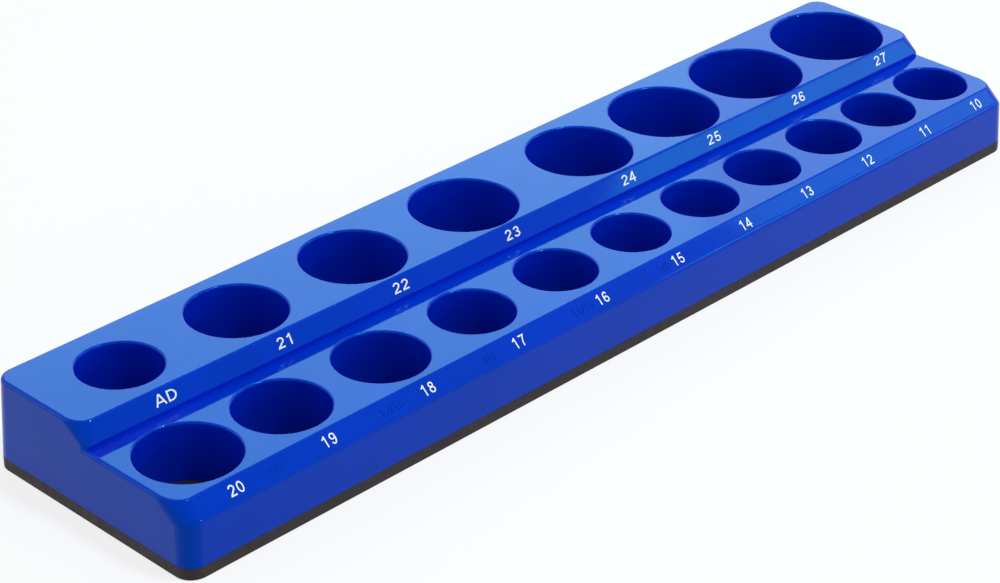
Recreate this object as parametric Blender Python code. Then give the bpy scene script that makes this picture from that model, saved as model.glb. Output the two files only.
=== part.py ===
"""A two-tier socket rail: a moulded tray of nineteen open wells, screwed to a base plate that
holds one disc magnet under each well.

Metres, +Z up. The origin is on the ground under the middle of the footprint. The length lies
along X, from the widest front well at -X to the narrowest at +X, and the low tier faces -Y.
"""

import math

import bmesh
import bpy

# Driving sizes. The two tiers stand one behind the other, and the step between them leans a
# little forward towards +X, as both rows of wells do, so that the wide rear wells and the narrow
# front wells keep about the same margins.
tray_length = 0.355
front_tier_depth = 0.0397
rear_tier_depth = 0.0438
step_lean = 0.0048
corner_radius = 0.0056
edge_round = 0.0008
draft_angle = math.radians(2.2)

# Wells from -X to +X, named for what they hold, and their bores.
rear_well_names = ("AD", "21", "22", "23", "24", "25", "26", "27")
rear_bores = (0.025, 0.030, 0.032, 0.0335, 0.0335, 0.0355, 0.037, 0.0375)
front_well_names = ("20", "19", "18", "17", "16", "15", "14", "13", "12", "11", "10")
front_bores = (0.030, 0.028, 0.028, 0.0255, 0.025, 0.024, 0.024, 0.024, 0.024, 0.024, 0.024)
well_rim_round = 0.00025

# How the length that the bores leave is shared among the end margins and the webs between wells.
rear_web_shares = (16.5, 14.8, 13.7, 12.7, 17.1, 4.7, 3.7, 4.2, 3.6)
front_web_shares = (5.0, 4.2, 9.0, 9.2, 9.4, 8.1, 7.2, 5.2, 6.1, 3.7, 3.3, 4.1)

# Where each row's middle lies across its tier, and how far the row leans towards +X.
front_row_share = 0.547
front_row_lean = 0.0024
rear_row_share = 0.491
rear_row_lean = 0.0021

# Section of the tray, from the ground up.
base_thickness = 0.0035
seam_gap = 0.0003
front_wall_height = 0.0143
front_chamfer_run = 0.0050
front_chamfer_rise = 0.0041
step_wall_height = 0.0011
step_chamfer_run = 0.0033
step_chamfer_rise = 0.0055

# Moulding behind the skin.
wall_thickness = 0.0020
deck_thickness = 0.0022
hollow_edge_round = 0.0004
tube_wall = 0.0015
boss_radius = 0.0033
boss_inset = 0.0050
pilot_depth = 0.0080

# Base plate and what it carries.
base_edge_chamfer = 0.0004
front_magnet_radius = 0.0075
rear_magnet_radius = 0.0095
magnet_thickness = 0.0025
magnet_recess = 0.0003
screw_shank_radius = 0.00145
screw_head_radius = 0.0028
screw_head_height = 0.0017
screw_length = 0.0095
screw_tip_length = 0.0015
screw_tip_radius = 0.0005
screw_recess = 0.0003
fit_clearance = 0.0003

# How far cutters run past what they cut.
cut_overrun = 0.002

# Facets.
well_segments = 40
tube_segments = 24
magnet_segments = 24
screw_segments = 16
corner_steps_after_round = 4
round_steps = 2

# A wall set behind a bend of about 45 degrees meets its neighbour this share of its thickness in,
# and a deck keeps more of its width where its edge meets a chamfer than where it meets a wall.
mitre_share = 0.4
chamfer_edge_share = 0.2

body_bottom = base_thickness + seam_gap
front_chamfer_z = body_bottom + front_wall_height
front_deck_z = front_chamfer_z + front_chamfer_rise
step_chamfer_z = front_deck_z + step_wall_height
rear_deck_z = step_chamfer_z + step_chamfer_rise


tray_depth = front_tier_depth + rear_tier_depth
left_x = -tray_length / 2
front_y = -tray_depth / 2


def leaning_line(middle, lean):
    """Y at the two ends of a line whose middle lies at this depth behind the front edge."""
    return front_y + middle + lean / 2, front_y + middle - lean / 2


step_foot = leaning_line(front_tier_depth, step_lean)
front_row = leaning_line(front_tier_depth * front_row_share, front_row_lean)
rear_row = leaning_line(front_tier_depth + rear_tier_depth * rear_row_share, rear_row_lean)


def along(line, x):
    """Y at x of a line given by its Y at the -X and +X ends of the tray."""
    left, right = line
    return left + (right - left) * (x - left_x) / tray_length


def row_of_wells(names, bores, web_shares, row_line, deck_z, magnet_radius):
    spare = tray_length - sum(bores)
    row = []
    x = left_x
    for name, bore, share in zip(names, bores, web_shares):
        radius = bore / 2
        x += spare * share / sum(web_shares) + radius
        row.append(
            {
                "name": name,
                "x": x,
                "y": along(row_line, x),
                "radius": radius,
                "deck": deck_z,
                "magnet": magnet_radius,
            }
        )
        x += radius
    return row


front_wells = row_of_wells(
    front_well_names, front_bores, front_web_shares, front_row, front_deck_z, front_magnet_radius
)
rear_wells = row_of_wells(
    rear_well_names, rear_bores, rear_web_shares, rear_row, rear_deck_z, rear_magnet_radius
)
wells = front_wells + rear_wells


def web_middle(row, first):
    """X half way across the web between a well and the next one in its row."""
    a, b = row[first], row[first + 1]
    return (a["x"] + a["radius"] + b["x"] - b["radius"]) / 2


def screw_places():
    """Four corners, and two more along each long edge in line with a web between wells."""
    near, far = left_x + boss_inset, -left_x - boss_inset
    front, rear = front_y + boss_inset, -front_y - boss_inset
    front_xs = (near, web_middle(front_wells, 2), web_middle(front_wells, 6), far)
    rear_xs = (near, web_middle(rear_wells, 2), web_middle(rear_wells, 4), far)
    return [(x, front) for x in front_xs] + [(x, rear) for x in rear_xs]


def material(name, colour, roughness, metallic=0.0):
    made = bpy.data.materials.new(name)
    made.use_nodes = True
    shader = made.node_tree.nodes["Principled BSDF"]
    shader.inputs["Base Color"].default_value = (*colour, 1.0)
    shader.inputs["Roughness"].default_value = roughness
    shader.inputs["Metallic"].default_value = metallic
    return made


def object_from(name, mesh, colour=None):
    obj = bpy.data.objects.new(name, mesh)
    bpy.context.scene.collection.objects.link(obj)
    if colour is not None:
        mesh.materials.append(colour)
    return obj


def make_cutter(obj, group):
    obj.hide_render = True
    obj.display_type = "WIRE"
    bpy.context.scene.collection.objects.unlink(obj)
    group.objects.link(obj)


def new_group(name):
    group = bpy.data.collections.new(name)
    bpy.context.scene.collection.children.link(group)
    return group


def cut(obj, name, group):
    boolean = obj.modifiers.new(name, "BOOLEAN")
    boolean.operation = "DIFFERENCE"
    boolean.solver = "EXACT"
    boolean.operand_type = "COLLECTION"
    boolean.collection = group


def smooth(mesh, sharp_angle=math.radians(30)):
    mesh.shade_smooth()
    mesh.set_sharp_from_angle(angle=sharp_angle)


def finished_mesh(name, bm):
    bmesh.ops.recalc_face_normals(bm, faces=bm.faces)
    mesh = bpy.data.meshes.new(name)
    bm.to_mesh(mesh)
    bm.free()
    smooth(mesh)
    return mesh


def turned_mesh(name, profile, segments):
    """A solid of revolution about Z from (radius, height) points that run upwards."""
    bm = bmesh.new()
    rings = []
    for radius, height in profile:
        angles = (math.tau * i / segments for i in range(segments))
        rings.append([bm.verts.new((radius * math.cos(a), radius * math.sin(a), height)) for a in angles])
    for low, high in zip(rings, rings[1:]):
        for i in range(segments):
            j = (i + 1) % segments
            bm.faces.new((low[i], low[j], high[j], high[i]))
    bm.faces.new(rings[0][::-1])
    bm.faces.new(rings[-1])
    return finished_mesh(name, bm)


def corner_angles(radius, rounding):
    """Angles along a plan corner, from the end of the tray to its front.

    The first few stand where the rounding of the deck edge comes in, so that a tier can rise
    out of that rounding with its own corner.
    """
    angles = [math.acos(1 - offset / radius) for offset, _ in round_offsets(rounding)]
    step = (math.pi / 2 - angles[-1]) / corner_steps_after_round
    return angles + [angles[-1] + step * i for i in range(1, corner_steps_after_round + 1)]


def round_offsets(rounding):
    """(inset, drop) pairs up a quarter round, from the side it leaves to the deck."""
    turns = [math.pi / 2 * i / round_steps for i in range(round_steps + 1)]
    return [(rounding * (1 - math.cos(t)), rounding * (1 - math.sin(t))) for t in turns]


class TrayForm:
    """The two-tier block, on the outside or at a wall's distance behind it."""

    def __init__(self, wall, deck, rounding, bottom):
        self.wall = wall
        self.rounding = rounding
        self.bottom = bottom
        self.radius = corner_radius - wall
        self.front_chamfer_z = front_chamfer_z - deck * mitre_share
        self.front_deck_z = front_deck_z - deck
        self.step_chamfer_z = step_chamfer_z - deck * mitre_share
        self.rear_deck_z = rear_deck_z - deck
        self.angles = corner_angles(self.radius, rounding)
        self.bm = bmesh.new()

    def inset(self, z):
        """How far the drafted sides stand in from the footprint at height z."""
        return self.wall + (z - body_bottom) * math.tan(draft_angle)

    def ring(self, z, front_line, inward=0.0):
        """The four corners of one level, each a list of vertices, anticlockwise from the rear left."""
        radius = self.radius - inward
        x = left_x + self.inset(z) + inward + radius
        rear = -front_y - self.inset(z) - inward - radius
        corners = {}
        for side, sign in (("left", 1), ("right", -1)):
            front = along(front_line, sign * x) + radius
            arc = [(sign * (x - radius * math.cos(a)), radius * math.sin(a)) for a in self.angles]
            corners["front_" + side] = [self.bm.verts.new((px, front - py, z)) for px, py in arc]
            corners["rear_" + side] = [self.bm.verts.new((px, rear + py, z)) for px, py in arc]
        return corners

    def front_chain(self, ring):
        return ring["front_left"] + ring["front_right"][::-1]

    def whole_chain(self, ring):
        return ring["rear_left"][::-1] + self.front_chain(ring) + ring["rear_right"]

    def strip(self, low, high, closed=False):
        count = len(low)
        for i in range(count if closed else count - 1):
            j = (i + 1) % count
            self.bm.faces.new((low[i], low[j], high[j], high[i]))

    def foot(self, foot_line):
        """The line where the upper tier leaves the front deck, which dips over the rounded edge."""
        z = self.front_deck_z
        seats = round_offsets(self.rounding)
        chains = []
        for sign in (1, -1):
            centre_x = left_x + self.inset(z) + self.radius
            centre_y = along(foot_line, sign * centre_x) + self.radius
            chain = []
            for i, angle in enumerate(self.angles):
                x = centre_x - self.radius * math.cos(angle)
                height = z
                if i < len(seats):
                    inward, drop = seats[i]
                    height = z - drop
                    x = left_x + self.inset(height) + inward
                chain.append(self.bm.verts.new((sign * x, centre_y - self.radius * math.sin(angle), height)))
            chains.append(chain)
        return chains

    def mesh(self, name):
        wall_y = front_y + self.inset(self.bottom)
        chamfer_y = front_y + self.inset(self.front_chamfer_z)
        deck_y = front_y + self.inset(front_chamfer_z) + front_chamfer_run
        deck_y -= self.wall * (1 - mitre_share)
        foot = [y + self.wall for y in step_foot]
        step_run = step_chamfer_run - self.wall * (1 - mitre_share)
        front_slope = front_chamfer_run / front_chamfer_rise
        step_slope = step_chamfer_run / step_chamfer_rise

        base = self.ring(self.bottom, (wall_y, wall_y))
        chamfer = self.ring(self.front_chamfer_z, (chamfer_y, chamfer_y))
        step = self.ring(self.step_chamfer_z, foot)
        front_rings, rear_rings = [], []
        for inward, drop in round_offsets(self.rounding):
            edge_y = deck_y - drop * front_slope + inward * chamfer_edge_share
            front_rings.append(self.ring(self.front_deck_z - drop, (edge_y, edge_y), inward))
            back = step_run - drop * step_slope + inward * chamfer_edge_share
            rear_rings.append(self.ring(self.rear_deck_z - drop, [y + back for y in foot], inward))
        left_foot, right_foot = self.foot(foot)

        self.strip(self.front_chain(base), self.front_chain(chamfer))
        self.strip(self.front_chain(chamfer), self.front_chain(front_rings[0]))
        chains = [
            [left_foot[i], *self.front_chain(ring), right_foot[i]] for i, ring in enumerate(front_rings)
        ]
        for low, high in zip(chains, chains[1:]):
            self.strip(low, high)
        last = len(front_rings) - 1
        deck = self.front_chain(front_rings[-1]) + right_foot[last:] + left_foot[last:][::-1]
        self.bm.faces.new(deck)

        foot_chain = left_foot + right_foot[::-1]
        self.strip(foot_chain, self.front_chain(step))
        self.strip(self.front_chain(step), self.front_chain(rear_rings[0]))
        for low, high in zip(rear_rings, rear_rings[1:]):
            self.strip(self.whole_chain(low), self.whole_chain(high), closed=True)
        self.bm.faces.new(self.whole_chain(rear_rings[-1]))

        top = rear_rings[0]
        for side, foot_start in (("left", left_foot[0]), ("right", right_foot[0])):
            front, rear = "front_" + side, "rear_" + side
            self.strip(base[rear], top[rear])
            self.bm.faces.new(
                (
                    base[rear][0],
                    base[front][0],
                    chamfer[front][0],
                    front_rings[0][front][0],
                    foot_start,
                    step[front][0],
                    top[front][0],
                    top[rear][0],
                )
            )
        back_wall = [base["rear_left"][-1], base["rear_right"][-1]]
        back_wall += [top["rear_right"][-1], top["rear_left"][-1]]
        self.bm.faces.new(back_wall)
        self.bm.faces.new(self.whole_chain(base)[::-1])
        unused = [vert for vert in self.bm.verts if not vert.link_faces]
        bmesh.ops.delete(self.bm, geom=unused, context="VERTS")
        return finished_mesh(name, self.bm)


def rounded_plate_mesh(name):
    """The base plate's outline, with its lower edge chamfered."""
    levels = ((0.0, base_edge_chamfer), (base_edge_chamfer, 0.0), (base_thickness, 0.0))
    quarter = len(corner_angles(corner_radius, edge_round))
    bm = bmesh.new()
    rings = []
    for z, inward in levels:
        radius = corner_radius - inward
        x = -left_x - corner_radius
        y = -front_y - corner_radius
        ring = []
        for turn, (sx, sy) in enumerate(((1, 1), (-1, 1), (-1, -1), (1, -1))):
            for i in range(quarter):
                angle = math.pi / 2 * (turn + i / (quarter - 1))
                ring.append(
                    bm.verts.new((sx * x + radius * math.cos(angle), sy * y + radius * math.sin(angle), z))
                )
        rings.append(ring)
    for low, high in zip(rings, rings[1:]):
        for i in range(len(low)):
            j = (i + 1) % len(low)
            bm.faces.new((low[i], low[j], high[j], high[i]))
    bm.faces.new(rings[0][::-1])
    bm.faces.new(rings[-1])
    return finished_mesh(name, bm)


def make_tray_body(plastic):
    tubes = new_group("tube_and_boss_forms")
    bores = new_group("well_cutters")
    for well in wells:
        place = (well["x"], well["y"], 0.0)
        top = well["deck"]
        tube_radius = well["radius"] + tube_wall
        tube_mesh = turned_mesh(
            "tube_form", ((tube_radius, body_bottom - 2 * cut_overrun), (tube_radius, top)), tube_segments
        )
        tube = object_from("tube_" + well["name"], tube_mesh)
        tube.location = place
        make_cutter(tube, tubes)
        radius = well["radius"]
        rim = radius + well_rim_round
        bore_mesh = turned_mesh(
            "bore_cutter",
            (
                (radius, body_bottom - cut_overrun),
                (radius, top - well_rim_round),
                (rim, top),
                (rim, top + cut_overrun),
            ),
            well_segments,
        )
        bore = object_from("bore_" + well["name"], bore_mesh)
        bore.location = place
        make_cutter(bore, bores)

    pilots = new_group("pilot_cutters")
    pilot_radius = screw_shank_radius + fit_clearance
    pilot_mesh = turned_mesh(
        "pilot_cutter",
        ((pilot_radius, body_bottom - cut_overrun), (pilot_radius, body_bottom + pilot_depth)),
        screw_segments,
    )
    boss_mesh = turned_mesh(
        "boss_form", ((boss_radius, body_bottom - 2 * cut_overrun), (boss_radius, rear_deck_z)), tube_segments
    )
    for i, (x, y) in enumerate(screw_places(), 1):
        boss = object_from(f"boss_{i}", boss_mesh)
        boss.location = (x, y, 0.0)
        make_cutter(boss, tubes)
        pilot = object_from(f"pilot_{i}", pilot_mesh)
        pilot.location = (x, y, 0.0)
        make_cutter(pilot, pilots)

    hollow_group = new_group("hollow_cutter")
    hollow_form = TrayForm(wall_thickness, deck_thickness, hollow_edge_round, body_bottom - cut_overrun)
    hollow = object_from("hollow", hollow_form.mesh("hollow"))
    cut(hollow, "leave tubes and bosses", tubes)
    make_cutter(hollow, hollow_group)

    body_form = TrayForm(0.0, 0.0, edge_round, body_bottom)
    body = object_from("tray_body", body_form.mesh("tray_body"), plastic)
    cut(body, "hollow behind the skin", hollow_group)
    cut(body, "wells", bores)
    cut(body, "pilot holes", pilots)


def make_base_plate(plastic):
    openings = new_group("base_cutters")
    pocket_top = magnet_recess + magnet_thickness + fit_clearance
    for well in wells:
        pocket_radius = well["magnet"] + fit_clearance
        pocket_mesh = turned_mesh(
            "pocket_cutter", ((pocket_radius, -cut_overrun), (pocket_radius, pocket_top)), magnet_segments
        )
        pocket = object_from("pocket_" + well["name"], pocket_mesh)
        pocket.location = (well["x"], well["y"], 0.0)
        make_cutter(pocket, openings)
    hole_radius = screw_shank_radius + fit_clearance
    sink_radius = screw_head_radius + fit_clearance
    sink_mesh = turned_mesh(
        "countersink_cutter",
        (
            (sink_radius, -cut_overrun),
            (sink_radius, screw_recess),
            (hole_radius, screw_recess + screw_head_height),
            (hole_radius, base_thickness + cut_overrun),
        ),
        screw_segments,
    )
    for i, (x, y) in enumerate(screw_places(), 1):
        sink = object_from(f"countersink_{i}", sink_mesh)
        sink.location = (x, y, 0.0)
        make_cutter(sink, openings)
    plate = object_from("base_plate", rounded_plate_mesh("base_plate"), plastic)
    cut(plate, "pockets and screw holes", openings)


def make_magnets(nickel):
    for well in wells:
        profile = ((well["magnet"], magnet_recess), (well["magnet"], magnet_recess + magnet_thickness))
        mesh = turned_mesh("magnet", profile, magnet_segments)
        magnet = object_from("magnet_" + well["name"], mesh, nickel)
        magnet.location = (well["x"], well["y"], 0.0)


def make_screws(steel):
    top = screw_recess + screw_length
    mesh = turned_mesh(
        "screw",
        (
            (screw_head_radius, screw_recess),
            (screw_shank_radius, screw_recess + screw_head_height),
            (screw_shank_radius, top - screw_tip_length),
            (screw_tip_radius, top),
        ),
        screw_segments,
    )
    mesh.materials.append(steel)
    for i, (x, y) in enumerate(screw_places(), 1):
        screw = object_from(f"base_screw_{i}", mesh)
        screw.location = (x, y, 0.0)


def main():
    for obj in list(bpy.data.objects):
        bpy.data.objects.remove(obj)
    make_tray_body(material("gloss_blue_abs", (0.0, 0.065, 0.52), 0.22))
    make_base_plate(material("matt_dark_base", (0.035, 0.028, 0.027), 0.6))
    make_magnets(material("nickel_plate", (0.62, 0.60, 0.56), 0.25, 1.0))
    make_screws(material("zinc_plated_steel", (0.58, 0.60, 0.62), 0.35, 1.0))


main()
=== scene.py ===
"""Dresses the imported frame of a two-tier socket rail and sets it on a plain studio floor.

Metres, +Z up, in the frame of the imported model: the length lies along X, the low tier faces -Y.
"""

import math
from functools import partial

import bmesh
import bpy
from mathutils import Matrix, Vector
from mathutils.geometry import delaunay_2d_cdt


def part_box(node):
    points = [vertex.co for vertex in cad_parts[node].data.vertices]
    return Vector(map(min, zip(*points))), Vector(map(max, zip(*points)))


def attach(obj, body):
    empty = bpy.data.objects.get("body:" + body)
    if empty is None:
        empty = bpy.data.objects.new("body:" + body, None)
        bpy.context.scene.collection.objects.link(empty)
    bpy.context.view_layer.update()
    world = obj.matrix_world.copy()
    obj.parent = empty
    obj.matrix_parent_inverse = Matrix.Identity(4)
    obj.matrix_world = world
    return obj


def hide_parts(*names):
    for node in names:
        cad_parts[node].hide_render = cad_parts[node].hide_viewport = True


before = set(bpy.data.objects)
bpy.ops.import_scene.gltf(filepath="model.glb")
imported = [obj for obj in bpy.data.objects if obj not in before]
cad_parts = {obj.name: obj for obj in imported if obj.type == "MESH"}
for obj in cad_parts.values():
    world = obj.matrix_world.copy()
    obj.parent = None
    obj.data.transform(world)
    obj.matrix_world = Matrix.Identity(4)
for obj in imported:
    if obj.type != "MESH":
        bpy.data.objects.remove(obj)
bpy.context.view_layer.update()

bl_info = {
    "name": "Socket rail",
    "version": (1, 0, 0),
    "blender": (4, 5, 0),
    "location": "3D View > Sidebar > Socket rail",
    "description": "Makes the pieces of a two-tier socket rail and its studio",
    "category": "Object",
}

body_low, body_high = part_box("tray_body")

MM = 0.001
IN_METRES = {"min": 0.0, "precision": 5, "unit": "LENGTH"}
OVERRUN = 2 * MM  # how far a cutter runs past the face that it opens
INNER_ROUND = 0.4 * MM  # under the decks, inside the moulding
SHARP_ANGLE = math.radians(35)
FLAT_ANGLE = math.radians(0.5)
CLOSE = 1e-6  # places nearer than this are one
WHITE = (1.0, 1.0, 1.0, 1.0)
PLASTIC_IOR, INK_IOR = 1.36, 1.48
GLOSS_TINT = (0.03, 1.0, 1.0, 1.0)  # the gloss of the moulding mirrors little red
DUST, THIN_INK = "#9DB2D8", "#B9CBEF"  # both let the blue under them through

left_x = body_low.x
front_y = body_low.y

# Wells from -X to +X, and the numbers of the sockets that they hold.
front_wells = ("20", "19", "18", "17", "16", "15", "14", "13", "12", "11", "10")
rear_wells = ("AD", "21", "22", "23", "24", "25", "26", "27")
screw_names = tuple(f"base_screw_{i}" for i in range(1, 9))

# How far each printed number lies off its well, in millimetres: the pads were set by hand.
front_print = (-0.2, -0.3, -0.2, -0.1, 0.0, 0.4, 0.2, 0.3, 0.2, 2.1, 1.7)
rear_print = (0.9, 1.5, 1.1, 1.2, 1.1, 1.3, 2.3, 2.8)

# Inch sizes that stand faintly in relief on the front chamfer, and where.
inch_marks = (("7/8", -144.1), ("13/16", -101.4), ("3/4", -63.6), ("11/16", -24.9), ("5/8", 9.9))


def linear(hex_colour):
    """A colour in linear light from its sRGB hex value."""
    channels = [int(hex_colour[i : i + 2], 16) / 255 for i in (1, 3, 5)]
    return tuple(c / 12.92 if c <= 0.04045 else ((c + 0.055) / 1.055) ** 2.4 for c in channels)


def length(name, description, millimetres):
    """A size that is written in millimetres and kept in metres."""
    default = millimetres * MM
    return bpy.props.FloatProperty(name=name, description=description, default=default, **IN_METRES)


def colour(name, description, hex_colour):
    limits = {"size": 3, "min": 0.0, "max": 1.0, "subtype": "COLOR"}
    return bpy.props.FloatVectorProperty(
        name=name, description=description, default=linear(hex_colour), **limits
    )


def radiance(name, description, default):
    """A light's strength, where 1 lights a white surface that it surrounds to full white."""
    return bpy.props.FloatProperty(name=name, description=description, default=default, min=0.0)


def bores(name, diameters):
    """The diameters of a row of wells, in millimetres."""
    default = [d * MM for d in diameters]
    text = "Diameters of the wells, from -X to +X"
    return bpy.props.FloatVectorProperty(
        name=name, description=text, default=default, size=len(default), **IN_METRES
    )


def scene_place(name, description, default):
    """A place in the scene."""
    kind = bpy.props.FloatVectorProperty
    return kind(name=name, description=description, default=default, unit="LENGTH")


class RailSizes(bpy.types.PropertyGroup):
    """Sizes of the moulding, the base and what they carry."""

    front_bores: bores("Front bores", (30, 28, 28, 25.5, 25, 24, 24, 24, 24, 24, 24))
    rear_bores: bores("Rear bores", (25, 30, 32, 33.5, 33.5, 35.5, 37, 37.5))
    corner_radius: length("Corner radius", "Of the four corners in plan", 5.6)
    step_corner_radius: length("Step corner radius", "At the foot of the upper tier", 2.1)
    roof_corner_back: length("Roof corner", "Length in Y of the rear deck's front corners", 7.2)
    edge_round: length("Edge round", "Radius along the edges of both decks", 1.1)
    crease_round: length("Crease round", "Radius where the front turns into its chamfer", 2.7)
    step_crease_round: length("Step crease round", "Radius where the step turns", 0.9)
    parting_round: length("Parting round", "Radius along the lower edge of the moulding", 0.12)
    rim_round: length("Rim round", "Radius round the mouth of each well", 0.7)
    well_taper: length("Well taper", "How far a well's wall draws in at its foot", 0.45)
    draft: bpy.props.FloatProperty(
        name="Draft",
        description="Lean of the outer walls, which lets the moulding leave its mould",
        default=math.radians(2.2),
        subtype="ANGLE",
    )
    front_tier_depth: length("Front tier depth", "From the front to the foot of the step", 39.7)
    step_lean: length("Step lean", "How far the step comes forward from -X to +X", 4.8)
    front_wall_height: length("Front wall height", "Up to the front chamfer", 13.9)
    front_chamfer_run: length("Front chamfer run", "Its depth in plan", 5.0)
    front_chamfer_rise: length("Front chamfer rise", "Its height", 4.5)
    step_wall_height: length("Step wall height", "Up to the step's chamfer", 1.1)
    step_chamfer_run: length("Step chamfer run", "Its depth in plan", 3.3)
    step_chamfer_rise: length("Step chamfer rise", "Its height", 5.5)
    wall: length("Wall", "Thickness of the outer walls", 2.0)
    deck: length("Deck", "Thickness of both decks", 2.2)
    tube_wall: length("Tube wall", "Thickness of the wells' walls", 1.5)
    boss_radius: length("Boss radius", "Of the posts that the screws bite into", 3.3)
    pilot_radius: length("Pilot radius", "Of the hole in each post", 1.75)
    pilot_depth: length("Pilot depth", "Of the hole in each post", 8.0)
    base_edge: length("Base edge", "Round along the foot of the base", 0.4)
    seam: length("Seam", "Gap left between moulding and base", 0.05)
    pocket_play: length("Pocket play", "Round each magnet", 0.3)
    magnet_edge: length("Magnet edge", "Round along the edge of each magnet", 0.25)
    screw_pitch: length("Screw pitch", "Between turns of the thread", 1.1)
    screw_crest: length("Screw crest", "Height of the thread", 0.24)
    recess_width: length("Recess width", "Across each arm of the cross in the screw heads", 0.75)
    recess_depth: length("Recess depth", "Of that cross", 1.2)
    number_height: length("Number height", "Of the printed numbers", 3.4)
    ink_thickness: length("Ink thickness", "How far the print stands proud", 0.03)
    mark_height: length("Mark height", "Of the moulded inch sizes", 2.6)
    mark_stroke: bpy.props.FloatProperty(
        name="Mark stroke",
        description="Width of a stroke as a share of the height",
        default=0.12,
        subtype="FACTOR",
    )
    mark_relief: length("Mark relief", "How far the moulded sizes stand proud", 0.13)


class RailFinishes(bpy.types.PropertyGroup):
    """Colours of the pieces and of the studio."""

    abs_blue: colour("Moulding", "Pigment of the moulding", "#0028C6")
    base_brown: colour("Base", "Pigment of the base", "#2D2429")
    ink_white: colour("Ink", "Printed numbers", "#FCFDFF")
    nickel: colour("Nickel", "Plate on the magnets", "#C9C4BB")
    zinc: colour("Zinc", "Plate on the screws", "#C4C8CC")
    floor: colour("Floor", "Studio floor, as it lights the rail", "#B4B4B4")
    card: colour("Card", "Gel of the lit card", "#00FFFF")


class RailStudio(bpy.types.PropertyGroup):
    """Camera and lights."""

    camera_place: scene_place("Camera place", "Where the camera stands", (-0.5766, -0.5518, 0.4575))
    camera_aim: scene_place("Camera aim", "What the camera looks at", (-0.0250, -0.0049, 0.0120))
    focal_length: bpy.props.FloatProperty(
        name="Focal length", description="In millimetres", default=107.97, min=1.0
    )
    ambient: radiance("Ambient", "Light from all round", 0.50)
    key: radiance("Key", "Lamp overhead, towards the camera's right", 43.0)
    low_side: radiance("Low side", "At the right, which the step's chamfer mirrors", 2.6)
    high_side: radiance("High side", "Above it, which the front chamfer mirrors", 2.0)
    panel: radiance("Panel", "Behind, which both decks mirror", 1.6)
    left_panel: radiance("Left panel", "Before its left part, for the left of the decks", 0.58)
    horizon_strip: radiance("Horizon strip", "Low behind, which the rims mirror", 1.2)
    fill: radiance("Fill", "Softbox behind the left end", 1.0)
    spark: radiance("Spark", "Small lamp low in front, which glints on the corners", 55.0)


def add_node(tree, kind, inputs=None, **settings):
    """One node, with its settings, and its inputs set to values or joined to other sockets."""
    node = tree.nodes.new(kind)
    for name, value in settings.items():
        setattr(node, name, value)
    for key, value in (inputs or {}).items():
        if isinstance(value, bpy.types.NodeSocket):
            tree.links.new(value, node.inputs[key])
        else:
            node.inputs[key].default_value = value
    return node


def result(tree, kind, inputs=None, **settings):
    """The first output of a new node."""
    return add_node(tree, kind, inputs, **settings).outputs[0]


def math_node(tree, operation, first, second=0.0, clamp=False):
    inputs = {0: first, 1: second}
    return result(tree, "ShaderNodeMath", inputs, operation=operation, use_clamp=clamp)


def new_material(name):
    """A material with an empty tree, and the place on the object that its patterns read."""
    material = bpy.data.materials.new(name)
    material.use_nodes = True
    tree = material.node_tree
    tree.nodes.clear()
    return material, tree, add_node(tree, "ShaderNodeTexCoord").outputs["Object"]


def noise(tree, place, size, detail=2.0, roughness=0.5):
    """Noise with features of about this size in metres."""
    inputs = {"Vector": place, "Scale": 1 / size, "Detail": detail, "Roughness": roughness}
    return result(tree, "ShaderNodeTexNoise", inputs)


def remap(tree, value, low, high, to_low, to_high):
    inputs = {"Value": value, "From Min": low, "From Max": high}
    inputs.update({"To Min": to_low, "To Max": to_high})
    return result(tree, "ShaderNodeMapRange", inputs)


def mixed_colour(tree, share, first, second):
    """Mixes two colours, each of them a socket or red, green and blue."""
    first, second = [
        c if isinstance(c, bpy.types.NodeSocket) else (*c, 1.0) for c in (first, second)
    ]
    inputs = {0: share, 6: first, 7: second}
    return add_node(tree, "ShaderNodeMix", inputs, data_type="RGBA").outputs[2]


def bumped(tree, height, distance, normal=None):
    """The normal of a relief that stands this far proud where its height is 1."""
    inputs = {"Strength": 1.0, "Distance": distance, "Height": height}
    if normal is not None:
        inputs["Normal"] = normal
    return result(tree, "ShaderNodeBump", inputs)


def shaded(value, factor):
    return tuple(min(1.0, c * factor) for c in value)


def finish_material(material, tree, inputs):
    surface = result(tree, "ShaderNodeBsdfPrincipled", inputs)
    add_node(tree, "ShaderNodeOutputMaterial", {"Surface": surface})
    return material


def gloss_abs(base):
    """ABS moulded in a polished steel mould: a hard gloss with slow waves where it shrank.

    Pigment flow varies the blue by a few hundredths, and a little workshop dust lies about.
    """
    material, tree, place = new_material("gloss_abs")
    flow = remap(tree, noise(tree, place, 26 * MM, 3.0), 0.35, 0.65, 0.0, 1.0)
    pigment = mixed_colour(tree, flow, shaded(base, 0.95), shaded(base, 1.04))
    cells = add_node(tree, "ShaderNodeTexVoronoi", {"Vector": place, "Scale": 1 / (7 * MM)}).outputs
    speck = remap(tree, cells["Distance"], 0.012, 0.03, 1.0, 0.0)
    chosen = result(tree, "ShaderNodeSeparateColor", {"Color": cells["Color"]})
    dust = math_node(tree, "MULTIPLY", speck, remap(tree, chosen, 0.55, 0.6, 0.0, 0.35))
    tinted = mixed_colour(tree, dust, pigment, linear(DUST))
    haze = remap(tree, noise(tree, place, 9 * MM, 4.0, 0.6), 0.3, 0.7, 0.045, 0.08)
    rough = math_node(tree, "ADD", haze, dust)
    waves = bumped(tree, noise(tree, place, 14 * MM, 1.0), 0.012 * MM)
    peel = bumped(tree, noise(tree, place, 1.6 * MM, 2.0), 0.0006 * MM, waves)
    inputs = {"Base Color": tinted, "Roughness": rough, "IOR": PLASTIC_IOR, "Normal": peel}
    inputs["Specular Tint"] = GLOSS_TINT
    return finish_material(material, tree, inputs)


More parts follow.
